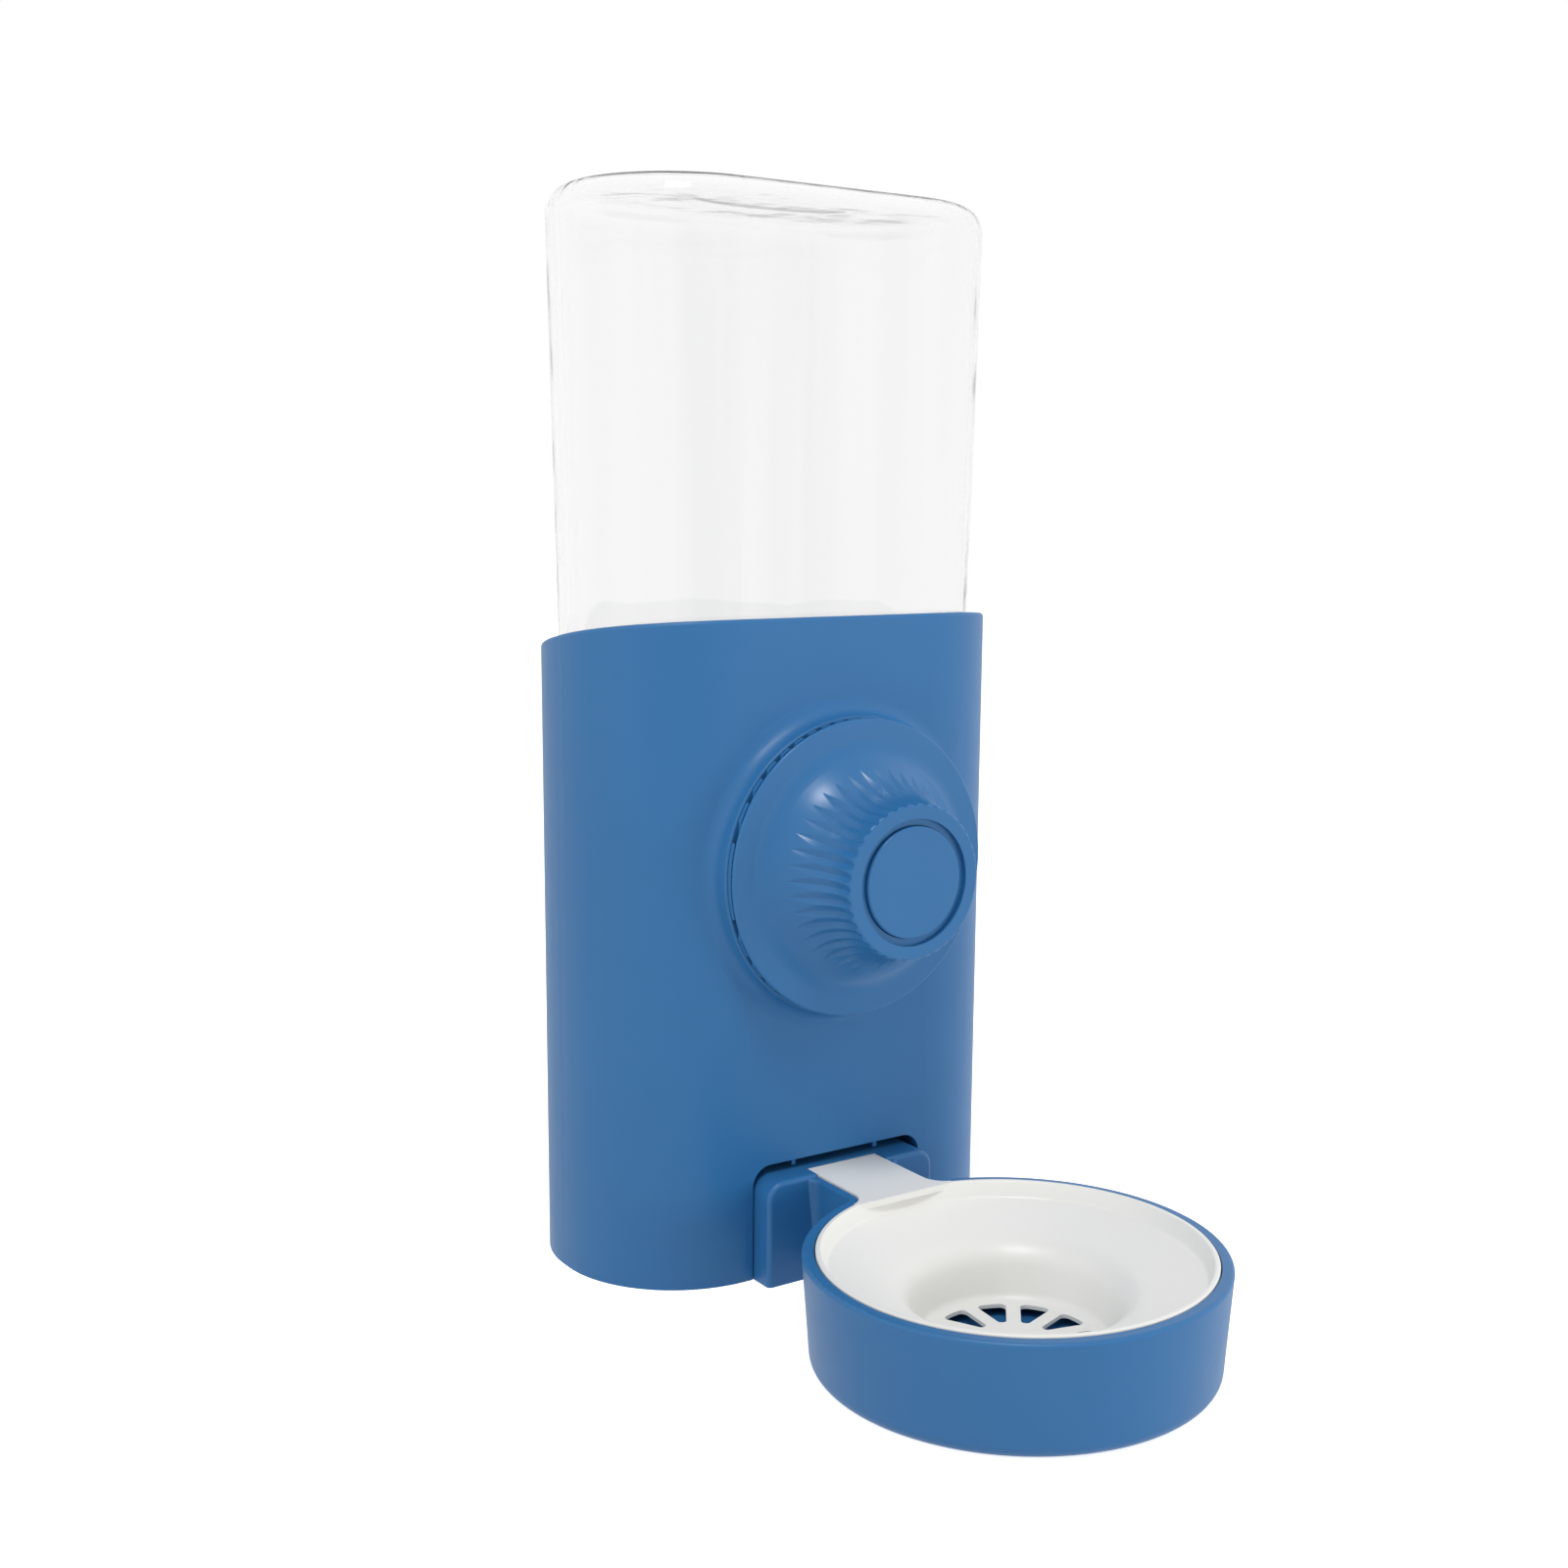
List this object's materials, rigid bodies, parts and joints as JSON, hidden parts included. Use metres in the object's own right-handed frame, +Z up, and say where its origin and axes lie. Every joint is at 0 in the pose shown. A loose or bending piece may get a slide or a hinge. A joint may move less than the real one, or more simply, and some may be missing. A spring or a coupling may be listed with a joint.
{
  "type": "small animal water bottle",
  "caption": "Gravity water bottle for small pets: a clear bottle stands neck-down in an oval housing with a wire clamp, over a tray whose round bowl holds a lift-out dish.",
  "frame": {"origin": "centre of the housing's foot, on the floor, under the bottle's axis", "axes": "+Z up along the bottle, +X across the housing's long side, the bowl and the clamp knob reach towards -Y"},
  "size_m": [0.1196, 0.1844, 0.264],
  "materials": {
    "housing": "satin injection-moulded plastic",
    "clamp_screw": "plain moulded plastic",
    "clamp_ring": "satin moulded plastic",
    "knob": "satin injection-moulded plastic",
    "knob_nut": "turned, plain",
    "knob_cap": "satin injection-moulded plastic",
    "bowl_tray": "satin injection-moulded plastic",
    "bowl_dish": "satin white plastic",
    "bottle": "clear polished plastic",
    "bottle_cap": "plain moulded plastic",
    "cap_gasket": "soft, matte",
    "valve_stem": "plain moulded plastic",
    "valve_seal": "soft, matte",
    "valve_spring": "drawn stainless wire",
    "spring_cage": "plain moulded plastic"
  },
  "bodies": {
    "housing": {"housing": "housing", "clamp_screw": "clamp_screw"},
    "ring": {"clamp_ring": "clamp_ring"},
    "knob": {"knob": "knob", "knob_nut": "knob_nut", "knob_cap": "knob_cap"},
    "stem": {"valve_stem": "valve_stem", "valve_seal": "valve_seal"},
    "cap": {"bottle_cap": "bottle_cap", "cap_gasket": "cap_gasket", "spring_cage": "spring_cage", "valve_spring": "valve_spring"},
    "bottle": {"bottle": "bottle"},
    "tray": {"bowl_tray": "bowl_tray"},
    "dish": {"bowl_dish": "bowl_dish"}
  },
  "joints": [
    {"name": "clamp_slide", "type": "slide", "parent": "housing", "child": "ring", "axis": [0, -1, 0], "range_m": [0, 0.024]},
    {"name": "knob_turn", "type": "hinge", "parent": "ring", "child": "knob", "pos_m": [0, -0.05, 0.1012], "axis": [0, -1, 0], "range_deg": [0, 2160]},
    {"name": "bottle_lift", "type": "slide", "parent": "housing", "child": "stem", "axis": [0, 0, 1], "range_m": [0, 0.15]},
    {"name": "valve_close", "type": "slide", "parent": "stem", "child": "cap", "axis": [0, 0, 1], "range_m": [0, 0.0039], "stiffness_N_per_m": 60, "springref_m": 0.006, "deforming": ["valve_spring"]},
    {"name": "bottle_off_cap", "type": "slide", "parent": "cap", "child": "bottle", "axis": [0, 0, 1], "range_m": [0, 0.03]},
    {"name": "tray_drop", "type": "slide", "parent": "housing", "child": "tray", "axis": [0, 0, -1], "range_m": [0, 0.032]},
    {"name": "dish_lift", "type": "slide", "parent": "tray", "child": "dish", "axis": [0, 0, 1], "range_m": [0, 0.03]}
  ],
  "couplings": [
    {"joint": "clamp_slide", "follows": "knob_turn", "m_per_rad": 0.00063662}
  ]
}
